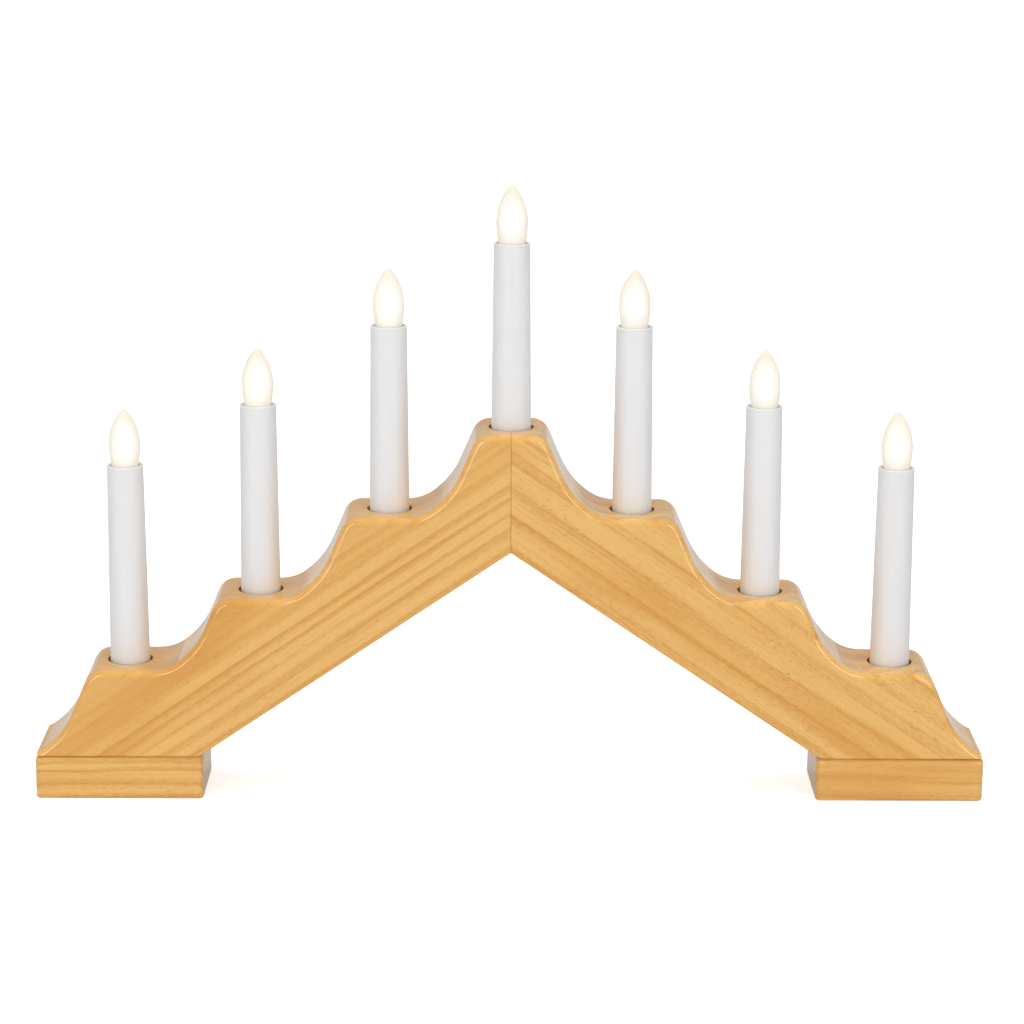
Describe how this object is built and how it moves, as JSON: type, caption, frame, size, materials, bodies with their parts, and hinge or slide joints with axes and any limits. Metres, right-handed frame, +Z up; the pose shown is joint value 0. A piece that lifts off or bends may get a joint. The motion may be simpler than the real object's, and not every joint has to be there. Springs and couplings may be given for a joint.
{
  "type": "electric candle arch",
  "caption": "Stepped pine arch on two feet with electric candle tubes and small frosted flame bulbs that unscrew; the tubes lift off their seats.",
  "frame": {"origin": "on the table, midway between the feet and between front and back", "axes": "+X to the right along the arch, +Y to the back, +Z up"},
  "size_m": [0.43, 0.042, 0.2778],
  "materials": {
    "pine": "clear lacquered pine, satin, grain along each piece",
    "beech": "plain turned dowel",
    "screw_steel": "zinc plated",
    "cover_strip": "thin plain wood strip",
    "tack_steel": "bright wire tack",
    "bush_plastic": "moulded nylon",
    "seat_plastic": "moulded plastic",
    "wire_jacket": "soft white wire jacket",
    "tube_plastic": "smooth white plastic",
    "holder_plastic": "heat resistant plastic",
    "contact_brass": "pressed sheet",
    "lit_glass": "frosted, lit warm white",
    "cap_brass": "rolled thread shell",
    "tip_solder": "solder button"
  },
  "bodies": {
    "root": {"left_board": "pine", "right_board": "pine", "left_foot": "pine", "right_foot": "pine", "mitre_dowels": "beech", "foot_screws": "screw_steel", "groove_covers": "cover_strip", "cover_tacks": "tack_steel", "cord_bush": "bush_plastic", "tube_seats": "seat_plastic", "groove_wires": "wire_jacket", "riser_wires_1": "wire_jacket", "riser_wires_2": "wire_jacket", "riser_wires_3": "wire_jacket", "riser_wires_4": "wire_jacket", "riser_wires_5": "wire_jacket", "riser_wires_6": "wire_jacket", "riser_wires_7": "wire_jacket"},
    "tube_1": {"candle_tube_1": "tube_plastic", "lampholder_1": "holder_plastic", "socket_contacts_1": "contact_brass"},
    "bulb_rise_1": {"bulb_tip_1": "tip_solder"},
    "bulb_1": {"bulb_glass_1": "lit_glass", "bulb_cap_1": "cap_brass"},
    "tube_2": {"candle_tube_2": "tube_plastic", "lampholder_2": "holder_plastic", "socket_contacts_2": "contact_brass"},
    "bulb_rise_2": {"bulb_tip_2": "tip_solder"},
    "bulb_2": {"bulb_glass_2": "lit_glass", "bulb_cap_2": "cap_brass"},
    "tube_3": {"candle_tube_3": "tube_plastic", "lampholder_3": "holder_plastic", "socket_contacts_3": "contact_brass"},
    "bulb_rise_3": {"bulb_tip_3": "tip_solder"},
    "bulb_3": {"bulb_glass_3": "lit_glass", "bulb_cap_3": "cap_brass"},
    "tube_4": {"candle_tube_4": "tube_plastic", "lampholder_4": "holder_plastic", "socket_contacts_4": "contact_brass"},
    "bulb_rise_4": {"bulb_tip_4": "tip_solder"},
    "bulb_4": {"bulb_glass_4": "lit_glass", "bulb_cap_4": "cap_brass"},
    "tube_5": {"candle_tube_5": "tube_plastic", "lampholder_5": "holder_plastic", "socket_contacts_5": "contact_brass"},
    "bulb_rise_5": {"bulb_tip_5": "tip_solder"},
    "bulb_5": {"bulb_glass_5": "lit_glass", "bulb_cap_5": "cap_brass"},
    "tube_6": {"candle_tube_6": "tube_plastic", "lampholder_6": "holder_plastic", "socket_contacts_6": "contact_brass"},
    "bulb_rise_6": {"bulb_tip_6": "tip_solder"},
    "bulb_6": {"bulb_glass_6": "lit_glass", "bulb_cap_6": "cap_brass"},
    "tube_7": {"candle_tube_7": "tube_plastic", "lampholder_7": "holder_plastic", "socket_contacts_7": "contact_brass"},
    "bulb_rise_7": {"bulb_tip_7": "tip_solder"},
    "bulb_7": {"bulb_glass_7": "lit_glass", "bulb_cap_7": "cap_brass"}
  },
  "joints": [
    {"name": "tube_1_lift", "type": "slide", "parent": "root", "child": "tube_1", "axis": [0, 0, 1], "range_m": [0, 0.02], "deforming": ["riser_wires_1"]},
    {"name": "bulb_1_rise", "type": "slide", "parent": "tube_1", "child": "bulb_rise_1", "axis": [0, 0, 1], "range_m": [0, 0.0073]},
    {"name": "bulb_1_unscrew", "type": "hinge", "parent": "bulb_rise_1", "child": "bulb_1", "pos_m": [-0.173, 0, 0.1511], "axis": [0, 0, 1], "range_deg": [0, 1440]},
    {"name": "tube_2_lift", "type": "slide", "parent": "root", "child": "tube_2", "axis": [0, 0, 1], "range_m": [0, 0.02], "deforming": ["riser_wires_2"]},
    {"name": "bulb_2_rise", "type": "slide", "parent": "tube_2", "child": "bulb_rise_2", "axis": [0, 0, 1], "range_m": [0, 0.0073]},
    {"name": "bulb_2_unscrew", "type": "hinge", "parent": "bulb_rise_2", "child": "bulb_2", "pos_m": [-0.113, 0, 0.1791], "axis": [0, 0, 1], "range_deg": [0, 1440]},
    {"name": "tube_3_lift", "type": "slide", "parent": "root", "child": "tube_3", "axis": [0, 0, 1], "range_m": [0, 0.02], "deforming": ["riser_wires_3"]},
    {"name": "bulb_3_rise", "type": "slide", "parent": "tube_3", "child": "bulb_rise_3", "axis": [0, 0, 1], "range_m": [0, 0.0073]},
    {"name": "bulb_3_unscrew", "type": "hinge", "parent": "bulb_rise_3", "child": "bulb_3", "pos_m": [-0.0545, 0, 0.2151], "axis": [0, 0, 1], "range_deg": [0, 1440]},
    {"name": "tube_4_lift", "type": "slide", "parent": "root", "child": "tube_4", "axis": [0, 0, 1], "range_m": [0, 0.02], "deforming": ["riser_wires_4"]},
    {"name": "bulb_4_rise", "type": "slide", "parent": "tube_4", "child": "bulb_rise_4", "axis": [0, 0, 1], "range_m": [0, 0.0073]},
    {"name": "bulb_4_unscrew", "type": "hinge", "parent": "bulb_rise_4", "child": "bulb_4", "pos_m": [0, 0, 0.2522], "axis": [0, 0, 1], "range_deg": [0, 1440]},
    {"name": "tube_5_lift", "type": "slide", "parent": "root", "child": "tube_5", "axis": [0, 0, 1], "range_m": [0, 0.02], "deforming": ["riser_wires_5"]},
    {"name": "bulb_5_rise", "type": "slide", "parent": "tube_5", "child": "bulb_rise_5", "axis": [0, 0, 1], "range_m": [0, 0.0073]},
    {"name": "bulb_5_unscrew", "type": "hinge", "parent": "bulb_rise_5", "child": "bulb_5", "pos_m": [0.0545, 0, 0.2151], "axis": [0, 0, 1], "range_deg": [0, 1440]},
    {"name": "tube_6_lift", "type": "slide", "parent": "root", "child": "tube_6", "axis": [0, 0, 1], "range_m": [0, 0.02], "deforming": ["riser_wires_6"]},
    {"name": "bulb_6_rise", "type": "slide", "parent": "tube_6", "child": "bulb_rise_6", "axis": [0, 0, 1], "range_m": [0, 0.0073]},
    {"name": "bulb_6_unscrew", "type": "hinge", "parent": "bulb_rise_6", "child": "bulb_6", "pos_m": [0.113, 0, 0.1791], "axis": [0, 0, 1], "range_deg": [0, 1440]},
    {"name": "tube_7_lift", "type": "slide", "parent": "root", "child": "tube_7", "axis": [0, 0, 1], "range_m": [0, 0.02], "deforming": ["riser_wires_7"]},
    {"name": "bulb_7_rise", "type": "slide", "parent": "tube_7", "child": "bulb_rise_7", "axis": [0, 0, 1], "range_m": [0, 0.0073]},
    {"name": "bulb_7_unscrew", "type": "hinge", "parent": "bulb_rise_7", "child": "bulb_7", "pos_m": [0.173, 0, 0.1511], "axis": [0, 0, 1], "range_deg": [0, 1440]}
  ],
  "couplings": [
    {"joint": "bulb_1_rise", "follows": "bulb_1_unscrew", "m_per_rad": 0.00028871},
    {"joint": "bulb_2_rise", "follows": "bulb_2_unscrew", "m_per_rad": 0.00028871},
    {"joint": "bulb_3_rise", "follows": "bulb_3_unscrew", "m_per_rad": 0.00028871},
    {"joint": "bulb_4_rise", "follows": "bulb_4_unscrew", "m_per_rad": 0.00028871},
    {"joint": "bulb_5_rise", "follows": "bulb_5_unscrew", "m_per_rad": 0.00028871},
    {"joint": "bulb_6_rise", "follows": "bulb_6_unscrew", "m_per_rad": 0.00028871},
    {"joint": "bulb_7_rise", "follows": "bulb_7_unscrew", "m_per_rad": 0.00028871}
  ]
}
